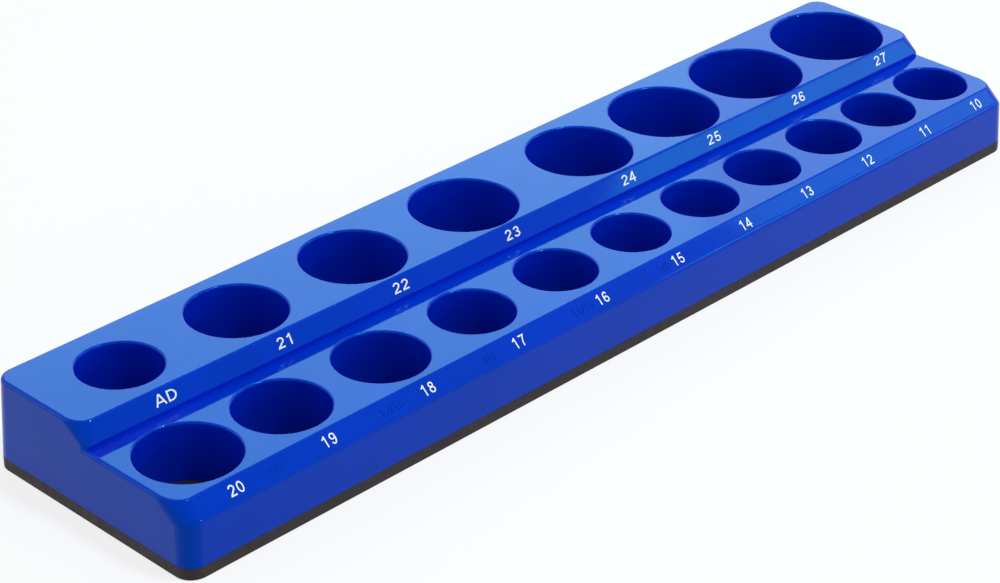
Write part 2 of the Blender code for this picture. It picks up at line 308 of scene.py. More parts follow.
def sparked_base(base):
    """Brown-black plastic from a spark-eroded mould: an even, dull grain of about a third of a
    millimetre, rubbed a little paler in patches.
    """
    material, tree, place = new_material("sparked_base")
    patches = remap(tree, noise(tree, place, 18 * MM, 3.0), 0.35, 0.7, 0.0, 1.0)
    pigment = mixed_colour(tree, patches, shaded(base, 0.88), shaded(base, 1.18))
    rough = remap(tree, noise(tree, place, 3 * MM, 2.0), 0.3, 0.7, 0.48, 0.62)
    grain = bumped(tree, noise(tree, place, 0.35 * MM, 3.0, 0.65), 0.03 * MM)
    inputs = {"Base Color": pigment, "Roughness": rough, "IOR": PLASTIC_IOR, "Normal": grain}
    return finish_material(material, tree, inputs)


def pad_ink(base):
    """White ink from a printing pad: satin, and a little thinner in patches."""
    material, tree, place = new_material("pad_ink")
    thin = remap(tree, noise(tree, place, 0.9 * MM, 3.0), 0.55, 0.8, 0.0, 0.35)
    inked = mixed_colour(tree, thin, base, linear(THIN_INK))
    rough = remap(tree, noise(tree, place, 0.4 * MM), 0.3, 0.7, 0.3, 0.42)
    inputs = {"Base Color": inked, "Roughness": rough, "IOR": INK_IOR}
    return finish_material(material, tree, inputs)


def plated_metal(name, base, smooth, dull, grain):
    """Electroplated metal, cloudy where it was handled, over a ground or cold-headed blank."""
    material, tree, place = new_material(name)
    cloud = noise(tree, place, 4 * MM, 4.0)
    plate = mixed_colour(tree, remap(tree, cloud, 0.35, 0.7, 0.0, 1.0), shaded(base, 0.9), base)
    rough = remap(tree, cloud, 0.3, 0.7, smooth, dull)
    ground = bumped(tree, noise(tree, place, grain, 2.0), 0.002 * MM)
    inputs = {"Base Color": plate, "Metallic": 1.0, "Roughness": rough, "Normal": ground}
    return finish_material(material, tree, inputs)


def white_for_sight(tree):
    """1 for camera, glossy and transmission rays, which see a white background, and 0 for light."""
    rays = add_node(tree, "ShaderNodeLightPath").outputs
    seen = math_node(tree, "MAXIMUM", rays["Is Camera Ray"], rays["Is Glossy Ray"])
    return math_node(tree, "MAXIMUM", seen, rays["Is Transmission Ray"])


def new_object(name, data, material=None):
    """An object in the scene, for a mesh, a lamp or a camera."""
    obj = bpy.data.objects.new(name, data)
    bpy.context.scene.collection.objects.link(obj)
    if material is not None:
        data.materials.append(material)
    return obj


def mesh_from(name, bm):
    bmesh.ops.recalc_face_normals(bm, faces=bm.faces)
    mesh = bpy.data.meshes.new(name)
    bm.to_mesh(mesh)
    bm.free()
    return mesh


def drop(*objects):
    for obj in objects:
        bpy.data.objects.remove(obj)


def make_plain(obj):
    """Turns what the modifiers make into the object's own mesh."""
    graph = bpy.context.evaluated_depsgraph_get()
    mesh = bpy.data.meshes.new_from_object(obj.evaluated_get(graph), depsgraph=graph)
    obj.modifiers.clear()
    obj.data = mesh


def settle_shading(obj):
    """Smooth shading that keeps wide faces flat beside their rounds."""
    obj.data.shade_smooth()
    obj.data.set_sharp_from_angle(angle=SHARP_ANGLE)
    weighted = obj.modifiers.new("flat faces", "WEIGHTED_NORMAL")
    weighted.mode = "FACE_AREA"
    weighted.keep_sharp = True
    make_plain(obj)


def cut(obj, *cutters):
    for cutter in cutters:
        boolean = obj.modifiers.new("cut", "BOOLEAN")
        boolean.operation = "DIFFERENCE"
        boolean.solver = "EXACT"
        boolean.object = cutter
    make_plain(obj)
    drop(*cutters)


def drop_bends(obj):
    """Takes out each vertex that only two faces share, where triangles of both could coincide."""
    bm = bmesh.new()
    bm.from_mesh(obj.data)
    bends = [vert for vert in bm.verts if len(vert.link_edges) == 2]
    bmesh.ops.dissolve_verts(bm, verts=bends)
    bm.to_mesh(obj.data)
    bm.free()


def strip(bm, low, high, closed=False):
    """A row of quads between two runs of vertices."""
    count = len(low)
    for i in range(count if closed else count - 1):
        j = (i + 1) % count
        bm.faces.new((low[i], low[j], high[j], high[i]))


def barrel(bm, rings):
    """A closed solid over rings of vertices that run upwards."""
    for low, high in zip(rings, rings[1:]):
        strip(bm, low, high, closed=True)
    bm.faces.new(rings[0][::-1])
    bm.faces.new(rings[-1])


def turned(bm, profile, segments, place):
    """Adds a solid of revolution from (radius, height) points that run upwards."""
    x, y = place
    angles = [math.tau * i / segments for i in range(segments)]
    rings = []
    for radius, height in profile:
        spots = [(x + radius * math.cos(a), y + radius * math.sin(a), height) for a in angles]
        rings.append([bm.verts.new(spot) for spot in spots])
    barrel(bm, rings)


def turned_object(name, profile, segments, places):
    bm = bmesh.new()
    for place in places:
        turned(bm, profile, segments, place)
    return new_object(name, mesh_from(name, bm))


def rounded(low_tilt, high_tilt, radius, steps):
    """(outward, upward) offsets from a crease, round a fillet between two faces whose outward
    normals tilt up by these angles.
    """
    scale = radius / (1 + math.cos(high_tilt - low_tilt))
    out = -scale * (math.cos(low_tilt) + math.cos(high_tilt))
    up = -scale * (math.sin(low_tilt) + math.sin(high_tilt))
    tilts = [low_tilt + (high_tilt - low_tilt) * i / steps for i in range(steps + 1)]
    return [(out + radius * math.cos(t), up + radius * math.sin(t)) for t in tilts]


def upright(radius, ends, rounds, steps):
    """(radius, height) points up a straight wall, with a round at its foot and one at its top."""
    points = []
    for z, edge, tilt in zip(ends, rounds, (-math.pi / 2, 0.0)):
        fillet = rounded(tilt, tilt + math.pi / 2, edge, steps)
        points += [(radius + out, z + up) for out, up in fillet]
    return points


def middles(nodes):
    """Plan position of the middle of each node."""
    centres = [sum(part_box(node), Vector()) / 2 for node in nodes]
    return [(centre.x, centre.y) for centre in centres]


def well_places(names):
    """Plan position of each well, over the middle of its magnet."""
    return middles(["magnet_" + name for name in names])


def along(line, x):
    """Y at x of a line given by its Y at the -X and +X ends."""
    return line[0] + (line[1] - line[0]) * (x - left_x) / (-2 * left_x)


def heights(sizes):
    """Where the section of the tray turns, from the ground up."""
    front_chamfer = body_low.z + sizes.front_wall_height
    front_deck = front_chamfer + sizes.front_chamfer_rise
    step_chamfer = front_deck + sizes.step_wall_height
    return front_chamfer, front_deck, step_chamfer, body_high.z


def step_foot(sizes):
    """Y at both ends of the line where the upper tier rises from the front deck."""
    middle = front_y + sizes.front_tier_depth
    return middle + sizes.step_lean / 2, middle - sizes.step_lean / 2


class TrayForm:
    """The two-tier block in levels of vertices that run round the plan corners.

    wall and deck say how far inside the outer faces this form lies: nothing for the outside. A bend
    is a line where the section turns: for each corner, a function from the angle round the corner,
    from the end of the tray to its front or back, to a place.
    """

    mitre = 0.4  # a face behind a bend meets its neighbour this share of its distance in
    round_steps = 4
    corner_steps = 10
    nudge = 0.02  # radians, between the places that give a bend's direction
    least_radius = 1 * MM  # of the step's corners inside the skin
    corner_growth = 0.6  # of the step's corners in Y, as a share of its wall's height
    hands = {"front_left": 1, "front_right": -1, "rear_left": -1, "rear_right": 1}

    def __init__(self, sizes, wall, deck, rounds, bottom):
        self.sizes, self.wall, self.bottom = sizes, wall, bottom
        self.bottom_round, self.crease, self.step_crease, self.edge = rounds
        self.draft = math.tan(sizes.draft)
        self.radius = sizes.corner_radius - wall
        self.step_radius = max(sizes.step_corner_radius - wall, self.least_radius)
        outer = heights(sizes)
        self.front_chamfer_z = outer[0] - deck * self.mitre
        self.front_deck_z = outer[1] - deck
        self.step_chamfer_z = outer[2] - deck * self.mitre
        self.rear_deck_z = outer[3] - deck
        self.end_round = rounded(math.atan(self.draft), math.pi / 2, self.edge, self.round_steps)
        count = self.round_steps + self.corner_steps
        self.angles = [math.pi / 2 * i / count for i in range(count + 1)]
        self.step_angles = self.rising_angles()
        self.bm = bmesh.new()

    def inset(self, z):
        """How far the drafted sides stand in from the footprint at height z."""
        return self.wall + (z - body_low.z) * self.draft

    def rising_angles(self):
        """Angles along the upper tier's front corners.

        The first few stand where the round of the front deck comes in, so that the tier can rise
        out of that round with its own corner.
        """
        z = self.front_deck_z
        angles = []
        for out, up in self.end_round:
            inward = self.inset(z) - out - self.inset(z + up)
            angles.append(math.acos(min(1.0, 1 - inward / self.step_radius)))
        step = (math.pi / 2 - angles[-1]) / self.corner_steps
        return angles + [angles[-1] + step * i for i in range(1, self.corner_steps + 1)]

    def bend(self, z, line, across, back, drop=0.0):
        """A bend at height z, with front corners this long in X and Y.

        Where it reaches the end of the tray it lies lower by drop.
        """

        def front(sign, angle):
            short = 1 - math.sin(angle)
            height = z - drop * short
            x = left_x + self.inset(height) + across * (1 - math.cos(angle))
            centre_x = left_x + self.inset(z) + across
            return Vector((sign * x, along(line, sign * centre_x) + back * short, height))

        def rear(sign, angle):
            x = left_x + self.inset(z) + self.radius * (1 - math.cos(angle))
            y = -front_y - self.inset(z) - self.radius * (1 - math.sin(angle))
            return Vector((sign * x, y, z))

        return {
            "front_left": partial(front, 1),
            "front_right": partial(front, -1),
            "rear_left": partial(rear, 1),
            "rear_right": partial(rear, -1),
        }

    def level(self, bend, below, above, radius, front_angles):
        """Rows of vertices up the round of a bend, between the faces to its neighbours.

        Where there is no neighbour, that face is flat.
        """
        rows = [{corner: [] for corner in bend} for _ in range(self.round_steps + 1)]
        for corner, spot in bend.items():
            for angle in front_angles if corner.startswith("front") else self.angles:
                here = spot(angle)
                way = (spot(angle + self.nudge) - spot(angle - self.nudge)) * self.hands[corner]
                low, high = Vector((0.0, 0.0, -1.0)), Vector((0.0, 0.0, 1.0))
                if below is not None:
                    low = way.cross(here - below[corner](angle)).normalized()
                if above is not None:
                    high = way.cross(above[corner](angle) - here).normalized()
                centre = here - (low + high) * (radius / (1 + low.dot(high)))
                for i, row in enumerate(rows):
                    out = low.slerp(high, i / self.round_steps, low)
                    row[corner].append(self.bm.verts.new(centre + out * radius))
        return rows

    def front_chain(self, row):
        return row["front_left"] + row["front_right"][::-1]

    def whole_chain(self, row):
        return row["rear_left"][::-1] + self.front_chain(row) + row["rear_right"]

    def strips(self, chains, closed=False):
        for low, high in zip(chains, chains[1:]):
            strip(self.bm, low, high, closed)

    def foot(self, bend):
        """Where the upper tier leaves the front deck, dipping over the rounded end of the deck."""
        chains = []
        for corner, sign in (("front_left", 1), ("front_right", -1)):
            places = [bend[corner](angle) for angle in self.step_angles]
            for place, (out, up) in zip(places, self.end_round):
                place.x = sign * (left_x + self.inset(self.front_deck_z) - out)
                place.z += up
            chains.append([self.bm.verts.new(place) for place in places])
        return chains

    def bends(self):
        """The bends from the ground up, and the foot of the upper tier."""
        sizes = self.sizes
        wall_y = front_y + self.inset(self.bottom)
        chamfer_y = front_y + self.inset(self.front_chamfer_z)
        behind = self.wall * (1 - self.mitre)
        outer_chamfer_y = front_y + self.inset(body_low.z + sizes.front_wall_height)
        deck_y = outer_chamfer_y + sizes.front_chamfer_run - behind
        foot = [y + self.wall for y in step_foot(sizes)]
        roof = [y + sizes.step_chamfer_run - behind for y in foot]

        # A ball of the corner's radius rolled between the end and the chamfer turns lower on the
        # end than on the front, and leaves a longer corner in the deck.
        tilt = math.atan2(sizes.front_chamfer_run, sizes.front_chamfer_rise)
        drop = self.radius * math.tan(tilt / 2)
        deck_back = self.radius / math.cos(tilt)
        roof_back = sizes.roof_corner_back - self.wall
        step_back = self.step_radius + sizes.step_wall_height * self.corner_growth
        round_corner = (self.radius, self.radius)
        return (
            self.bend(self.bottom, (wall_y,) * 2, *round_corner),
            self.bend(self.front_chamfer_z, (chamfer_y,) * 2, *round_corner, drop),
            self.bend(self.front_deck_z, (deck_y,) * 2, self.radius, deck_back),
            self.bend(self.front_deck_z, foot, self.step_radius, self.step_radius),
            self.bend(self.step_chamfer_z, foot, self.step_radius, step_back),
            self.bend(self.rear_deck_z, roof, self.radius, roof_back),
        )

    def mesh(self, name):
        bottom, chamfer, deck, rise, step_chamfer, roof = self.bends()
        ground = self.level(bottom, None, chamfer, self.bottom_round, self.angles)
        crease = self.level(chamfer, bottom, deck, self.crease, self.angles)
        edge = self.level(deck, chamfer, None, self.edge, self.angles)
        step = self.level(step_chamfer, rise, roof, self.step_crease, self.step_angles)
        rear = self.level(roof, step_chamfer, None, self.edge, self.step_angles)
        for corner in ("rear_left", "rear_right"):
            for row, better in zip(rear, self.level(roof, bottom, None, self.edge, self.angles)):
                row[corner] = better[corner]
        left_foot, right_foot = self.foot(rise)
        last = self.round_steps

        self.bm.faces.new(self.whole_chain(ground[0])[::-1])
        self.strips([self.whole_chain(row) for row in ground], closed=True)
        self.strips([self.front_chain(row) for row in (ground[last], *crease, edge[0])])
        self.strips(
            [[left_foot[i], *self.front_chain(row), right_foot[i]] for i, row in enumerate(edge)]
        )
        self.bm.faces.new(self.front_chain(edge[last]) + right_foot[last:] + left_foot[last:][::-1])
        tier = [self.front_chain(row) for row in (*step, rear[0])]
        self.strips([left_foot + right_foot[::-1], *tier])
        self.strips([self.whole_chain(row) for row in rear], closed=True)
        self.bm.faces.new(self.whole_chain(rear[last]))

        base, ceiling = ground[last], rear[0]
        for side, foot_start in (("left", left_foot[0]), ("right", right_foot[0])):
            back_corner, front_corner = "rear_" + side, "front_" + side
            strip(self.bm, base[back_corner], ceiling[back_corner])
            end = [base[back_corner][0], base[front_corner][0], crease[0][front_corner][0]]
            end += [edge[0][front_corner][0], foot_start, step[0][front_corner][0]]
            end += [ceiling[front_corner][0], ceiling[back_corner][0]]
            self.bm.faces.new(end)
        back_wall = [base["rear_left"][-1], base["rear_right"][-1]]
        back_wall += [ceiling["rear_right"][-1], ceiling["rear_left"][-1]]
        self.bm.faces.new(back_wall)
        unused = [vert for vert in self.bm.verts if not vert.link_faces]
        bmesh.ops.delete(self.bm, geom=unused, context="VERTS")
        bmesh.ops.remove_doubles(self.bm, verts=self.bm.verts, dist=CLOSE)
        return mesh_from(name, self.bm)


def tree_sockets(name, inputs):
    """A geometry tree with named inputs, and the outputs of its input node."""
    tree = bpy.data.node_groups.new(name, "GeometryNodeTree")
    for label, kind in {"Geometry": "Geometry", **inputs}.items():
        tree.interface.new_socket(label, in_out="INPUT", socket_type="NodeSocket" + kind)
    tree.interface.new_socket("Geometry", in_out="OUTPUT", socket_type="NodeSocketGeometry")
    return tree, add_node(tree, "NodeGroupInput").outputs


def finish_tree(tree, geometry, material):
    """Hands out what a tree made as one plain mesh with its material."""
    whole = result(tree, "GeometryNodeRealizeInstances", {"Geometry": geometry})
    dressed = result(tree, "GeometryNodeSetMaterial", {"Geometry": whole, "Material": material})
    add_node(tree, "NodeGroupOutput", {"Geometry": dressed})
    return tree


def grow(obj, tree, values):
    """Runs a geometry tree on an object's points, with its inputs set, and keeps the mesh."""
    modifier = obj.modifiers.new(tree.name, "NODES")
    modifier.node_group = tree
    for item in tree.interface.items_tree:
        if item.in_out == "INPUT" and item.name in values:
            modifier[item.identifier] = values[item.name]
    make_plain(obj)


def named(tree, name):
    """The value that each point carries under this name."""
    return result(tree, "GeometryNodeInputNamedAttribute", {"Name": name})


def well_tree():
    """One closed form per point, to cut a well: a bore with a rounded mouth, run past the deck.

    Each is a pipe round an upright line, whose points have a level from 0 at the foot. Levels 1
    and up go round the mouth, and the last runs past the deck. The tests for the first and the
    last level lie half a level off it.
    """
    inputs = {"Floor": "Float", "Rim Round": "Float", "Overrun": "Float", "Taper": "Float"}
    inputs.update({"Rim Steps": "Int", "Segments": "Int", "Material": "Material"})
    tree, given = tree_sockets("well_forms", inputs)
    make = partial(result, tree)
    calc = partial(math_node, tree)

    line = make("GeometryNodeMeshLine", {"Count": calc("ADD", given["Rim Steps"], 3.0)})
    curve = make("GeometryNodeMeshToCurve", {"Mesh": line})
    inputs = {"Geometry": curve, "Name": "level", "Value": make("GeometryNodeInputIndex")}
    marked = make("GeometryNodeStoreNamedAttribute", inputs)
    inputs = {"Points": given["Geometry"], "Instance": marked}
    placed = make("GeometryNodeInstanceOnPoints", inputs)
    rails = make("GeometryNodeRealizeInstances", {"Geometry": placed})

    level = named(tree, "level")
    share = calc("DIVIDE", calc("SUBTRACT", level, 1.0), given["Rim Steps"], clamp=True)
    turn = calc("MULTIPLY", share, math.pi / 2)
    flare = calc("SUBTRACT", 1.0, calc("COSINE", turn))
    dip = calc("SUBTRACT", 1.0, calc("SINE", turn))
    is_first = calc("LESS_THAN", level, 0.5)
    is_last = calc("GREATER_THAN", level, calc("ADD", given["Rim Steps"], 1.5))

    drawn_in = calc("MULTIPLY", is_first, given["Taper"])
    bore = calc("SUBTRACT", named(tree, "bore_radius"), drawn_in)
    radius = calc("ADD", bore, calc("MULTIPLY", flare, given["Rim Round"]))
    sunk = calc("MULTIPLY", dip, given["Rim Round"])
    rim = calc("SUBTRACT", named(tree, "deck_height"), sunk)
    upper = calc("ADD", rim, calc("MULTIPLY", is_last, given["Overrun"]))
    below = calc("MULTIPLY", is_first, given["Floor"])
    above = calc("MULTIPLY", calc("SUBTRACT", 1.0, is_first), upper)
    height = calc("ADD", below, above)

    position = make("GeometryNodeInputPosition")
    parts = add_node(tree, "ShaderNodeSeparateXYZ", {0: position}).outputs
    place = make("ShaderNodeCombineXYZ", {"X": parts["X"], "Y": parts["Y"], "Z": height})
    moved = make("GeometryNodeSetPosition", {"Geometry": rails, "Position": place})
    inputs = {"Resolution": given["Segments"], "Radius": 1.0}
    circle = make("GeometryNodeCurvePrimitiveCircle", inputs)
    inputs = {"Curve": moved, "Profile Curve": circle, "Scale": radius, "Fill Caps": True}
    return finish_tree(tree, make("GeometryNodeCurveToMesh", inputs), given["Material"])


def set_out_tree():
    """One copy of a piece on each point, at the point's own scale in plan."""
    tree, given = tree_sockets("set_out", {"Piece": "Object", "Material": "Material"})
    piece = add_node(tree, "GeometryNodeObjectInfo", {"Object": given["Piece"]})
    scale = named(tree, "plan_scale")
    stretch = result(tree, "ShaderNodeCombineXYZ", {"X": scale, "Y": scale, "Z": 1.0})
    inputs = {"Points": given["Geometry"], "Instance": piece.outputs["Geometry"], "Scale": stretch}
    copies = result(tree, "GeometryNodeInstanceOnPoints", inputs)
    return finish_tree(tree, copies, given["Material"])


def points_object(name, places, **values):
    """Loose points for a geometry tree, with a value per point for each name."""
    mesh = bpy.data.meshes.new(name)
    mesh.from_pydata(places, [], [])
    for label, numbers in values.items():
        mesh.attributes.new(label, "FLOAT", "POINT").data.foreach_set("value", numbers)
    return new_object(name, mesh)


def set_out(name, piece, places, scales, finish):
    """Copies of a piece in one object, which takes the piece's place in the scene."""
    points = points_object(name, [(*place, 0.0) for place in places], plan_scale=scales)
    grow(points, set_out_tree(), {"Piece": piece, "Material": finish})
    drop(piece)
    return points


class MakeTray(bpy.types.Operator):
    """Make the moulded tray with its nineteen wells, hollow behind its skin"""

    bl_idname = "socket_rail.tray"
    bl_label = "Tray"

    def execute(self, context):
        sizes = context.scene.rail_sizes
        finish = gloss_abs(context.scene.rail_finishes.abs_blue)
        _, front_deck, _, rear_deck = heights(sizes)
        places = well_places(front_wells + rear_wells)
        radii = [bore / 2 for bore in (*sizes.front_bores, *sizes.rear_bores)]
        decks = [front_deck] * len(front_wells) + [rear_deck] * len(rear_wells)

        rounds = (0.0, 0.0, 0.0, INNER_ROUND)
        hollow_form = TrayForm(sizes, sizes.wall, sizes.deck, rounds, body_low.z - OVERRUN)
        hollow = new_object("hollow", hollow_form.mesh("hollow"))
        under = body_low.z - 2 * OVERRUN
        tubes = []
        for place, radius, deck in zip(places, radii, decks):
            outside = radius + sizes.tube_wall
            profile = ((outside, under), (outside, deck))
            tubes.append(turned_object("tube", profile, segments=64, places=[place]))
        posts = middles(screw_names)
        profile = ((sizes.boss_radius, under), (sizes.boss_radius, rear_deck))
        tubes.append(turned_object("bosses", profile, segments=32, places=posts))
        cut(hollow, *tubes)

        spots = [(*place, 0.0) for place in places]
        wells = points_object("wells", spots, bore_radius=radii, deck_height=decks)
        values = {"Floor": body_low.z - OVERRUN, "Rim Round": sizes.rim_round, "Overrun": OVERRUN}
        values.update({"Taper": sizes.well_taper, "Rim Steps": 4, "Segments": 128})
        values["Material"] = finish
        grow(wells, well_tree(), values)

        top = body_low.z + sizes.pilot_depth
        profile = ((sizes.pilot_radius, body_low.z - OVERRUN), (sizes.pilot_radius, top))
        pilots = turned_object("pilots", profile, segments=24, places=posts)

        rounds = (sizes.parting_round, sizes.crease_round)
        rounds += (sizes.step_crease_round, sizes.edge_round)
        form = TrayForm(sizes, 0.0, 0.0, rounds, body_low.z)
        tray = new_object("moulded_tray", form.mesh("moulded_tray"), finish)
        cut(tray, hollow, wells, pilots)
        drop_bends(tray)
        settle_shading(tray)
        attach(tray, "root")
        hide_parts("tray_body")
        return {"FINISHED"}


# Strokes of plain sans-serif figures, in a box one unit high with the baseline at zero. A stroke
# is a run of points, and an arc is its centre, its two radii and its first and last angle.
BAR_TOP, BAR_FOOT = 0.922, 0.078
FIGURES = {
    "0": [[(0.388, 0.5, 0.245, 0.422, 90, 450)]],
    "1": [[(0.45, 0.0), (0.45, 1.0)], [(0.17, 0.74), (0.32, 0.81), (0.43, 0.93)]],
    "2": [
        [(0.385, 0.685, 0.235, 0.237, 172, -32), (0.15, 0.15), (0.13, BAR_FOOT), (0.66, BAR_FOOT)]
    ],
    "3": [
        [(0.375, 0.72, 0.205, 0.202, 165, -90), (0.33, 0.518)],
        [(0.33, 0.518), (0.375, 0.298, 0.24, 0.22, 90, -168)],
    ],
    "4": [[(0.52, 0.0), (0.52, 1.0)], [(0.50, 0.95), (0.09, 0.30), (0.70, 0.30)]],
    "5": [
        [(0.62, BAR_TOP), (0.235, BAR_TOP), (0.165, 0.50), (0.375, 0.32, 0.24, 0.242, 140, -165)]
    ],
    "6": [[(0.39, 0.305, 0.235, 0.227, 90, 450)], [(0.41, 0.5, 0.255, 0.422, 38, 212)]],
    "7": [[(0.11, BAR_TOP), (0.65, BAR_TOP), (0.48, 0.66), (0.36, 0.33), (0.32, 0.0)]],
    "8": [[(0.388, 0.732, 0.2, 0.19, 90, 450)], [(0.388, 0.298, 0.24, 0.22, 90, 450)]],
    "9": [[(0.386, 0.695, 0.235, 0.227, 90, 450)], [(0.366, 0.5, 0.255, 0.422, -142, 32)]],
    "A": [[(0.06, 0.0), (0.43, 0.97), (0.50, 0.97), (0.87, 0.0)], [(0.2, 0.31), (0.73, 0.31)]],
    "D": [
        [(0.19, 0.0), (0.19, 1.0)],
        [(0.19, BAR_TOP), (0.42, 0.5, 0.42, 0.422, 90, -90), (0.19, BAR_FOOT)],
    ],
    "/": [[(0.03, 0.0), (0.36, 1.0)]],
}
ADVANCES = {"A": 0.93, "D": 1.0, "/": 0.39}
DIGIT_ADVANCE = 0.776
DIGIT_GAP = 0.04
ARC_STEP = 10.0  # degrees
HAIRPIN, STRAIGHT = 0.3, 1.9999  # a turn is mitred where 1 plus its cosine lies between
MARK_SHARE = 0.48  # how far up the slope the inch sizes stand


def stroke_points(items):
    points = []
    for item in items:
        if len(item) == 2:
            points.append(item)
            continue
        x, y, across, up, first, last = item
        steps = max(2, round(abs(last - first) / ARC_STEP))
        for i in range(steps + 1):
            angle = math.radians(first + (last - first) * i / steps)
            points.append((x + across * math.cos(angle), y + up * math.sin(angle)))
    return [Vector(point) for point in points]


def stroke_faces(points, width):
    """Anticlockwise faces along a run of points: a bar for each step, and a mitre at each turn."""
    half = width / 2
    ways = [(b - a).normalized() for a, b in zip(points, points[1:])]
    sides = [Vector((-way.y, way.x)) * half for way in ways]
    faces = []
    for a, b, side in zip(points, points[1:], sides):
        faces.append((a - side, b - side, b + side, a + side))
    joints = list(zip(points[1:-1], sides, sides[1:]))
    if (points[0] - points[-1]).length < CLOSE:
        joints.append((points[0], sides[-1], sides[0]))
    for point, before, after in joints:
        if before.cross(after) < 0:
            before, after = -after, -before
        apart = 1 + before.dot(after) / half**2
        if HAIRPIN < apart < STRAIGHT:
            faces.append((point, point - before, point - (before + after) / apart, point - after))
    return faces


def figure_outline(figure, stroke):
    """Triangles that cover the strokes of a figure, each place once, and its advance."""
    corners, faces = [], []
    for items in FIGURES[figure]:
        for quad in stroke_faces(stroke_points(items), stroke):
            faces.append(list(range(len(corners), len(corners) + len(quad))))
            corners.extend(quad)
    inside_only, merge = 1, 1e-5
    cover = delaunay_2d_cdt(corners, [], faces, inside_only, merge, True)
    points, _, pieces, _, _, sources = cover
    pieces = [piece for piece, source in zip(pieces, sources) if source]
    return points, pieces, ADVANCES.get(figure, DIGIT_ADVANCE)


def add_text(bm, text, height, stroke, gap, plane, relief):
    """Adds figures as thin solids, centred on a place and lying in the plane of two directions.

    They stand this far proud of the plane, and reach as far under it.
    """
    place, along_way, up_way = plane
    out_way = along_way.cross(up_way).normalized()
    outlines = [figure_outline(figure, stroke) for figure in text]
    width = sum(advance for _, _, advance in outlines) + gap * (len(text) - 1)
    pen = -width / 2
    for points, pieces, advance in outlines:
        spots = []
        for point in points:
            level = up_way * ((point.y - 0.5) * height)
            spots.append(place + along_way * ((pen + point.x) * height) + level)
        back = [bm.verts.new(spot - out_way * relief) for spot in spots]
        face = [bm.verts.new(spot + out_way * relief) for spot in spots]
        used = dict.fromkeys(e for piece in pieces for e in zip(piece, [*piece[1:], piece[0]]))
        for piece in pieces:
            bm.faces.new([face[i] for i in piece])
            bm.faces.new([back[i] for i in reversed(piece)])
        for a, b in used:
            if (b, a) not in used:
                bm.faces.new((face[b], face[a], back[a], back[b]))
        pen += advance + gap


def finished_text(name, bm, finish):
    loose = [vert for vert in bm.verts if not vert.link_faces]
    bmesh.ops.delete(bm, geom=loose, context="VERTS")
    limits = {"angle_limit": FLAT_ANGLE, "delimit": {"NORMAL"}}
    bmesh.ops.dissolve_limit(bm, verts=bm.verts, edges=bm.edges, **limits)
    bmesh.ops.triangulate(bm, faces=bm.faces)
    obj = new_object(name, mesh_from(name, bm), finish)
    settle_shading(obj)
    return obj


def chamfer_plane(sizes, tier):
    """A function from x and a share of the slope to a place, and the slope's two directions."""
    front_chamfer, _, step_chamfer, _ = heights(sizes)
    if tier == "front":
        y = front_y + sizes.front_wall_height * math.tan(sizes.draft)
        line, z = (y, y), front_chamfer
        run, rise = sizes.front_chamfer_run, sizes.front_chamfer_rise
    else:
        line, z = step_foot(sizes), step_chamfer
        run, rise = sizes.step_chamfer_run, sizes.step_chamfer_rise
    along_way = Vector((-2 * left_x, line[1] - line[0], 0.0)).normalized()
    slope = Vector((0.0, run, rise))
    up_way = (slope - along_way * slope.dot(along_way)).normalized()

    def place(x, share):
        return Vector((x, along(line, x) + run * share, z + rise * share))

    return place, along_way, up_way


class MakeNumbers(bpy.types.Operator):
    """Print the socket sizes on both chamfers"""

    bl_idname = "socket_rail.numbers"
    bl_label = "Printed numbers"

    def execute(self, context):
        sizes = context.scene.rail_sizes
        finish = pad_ink(context.scene.rail_finishes.ink_white)
        bm = bmesh.new()
        # Where on the slope each row stands, its stretch in width and height, and its stroke.
        rows = (
            ("front", front_wells, front_print, 0.50, 1.0, 1.0, 0.125),
            ("rear", rear_wells, rear_print, 0.51, 1.18, 0.95, 0.138),
        )
        height, ink = sizes.number_height, sizes.ink_thickness
        for tier, names, shifts, share, wide, tall, stroke in rows:
            place, along_way, up_way = chamfer_plane(sizes, tier)
            for name, shift, (x, _) in zip(names, shifts, well_places(names)):
                plane = (place(x + shift * MM, share), along_way * wide, up_way * tall)
                add_text(bm, name, height, stroke, DIGIT_GAP, plane, ink)
        numbers = finished_text("printed_numbers", bm, finish)
        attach(numbers, "root")
        return {"FINISHED"}


class MakeInchMarks(bpy.types.Operator):
    """Raise the faint inch sizes on the front chamfer"""

    bl_idname = "socket_rail.inch_marks"
    bl_label = "Moulded inch sizes"

    def execute(self, context):
        sizes = context.scene.rail_sizes
        finish = bpy.data.materials["gloss_abs"]
        bm = bmesh.new()
        place, along_way, up_way = chamfer_plane(sizes, "front")
        height, stroke = sizes.mark_height, sizes.mark_stroke
        for text, x in inch_marks:
            plane = (place(x * MM, MARK_SHARE), along_way, up_way)
            add_text(bm, text, height, stroke, 0.0, plane, sizes.mark_relief)
        marks = finished_text("moulded_inch_marks", bm, finish)
        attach(marks, "root")
        return {"FINISHED"}


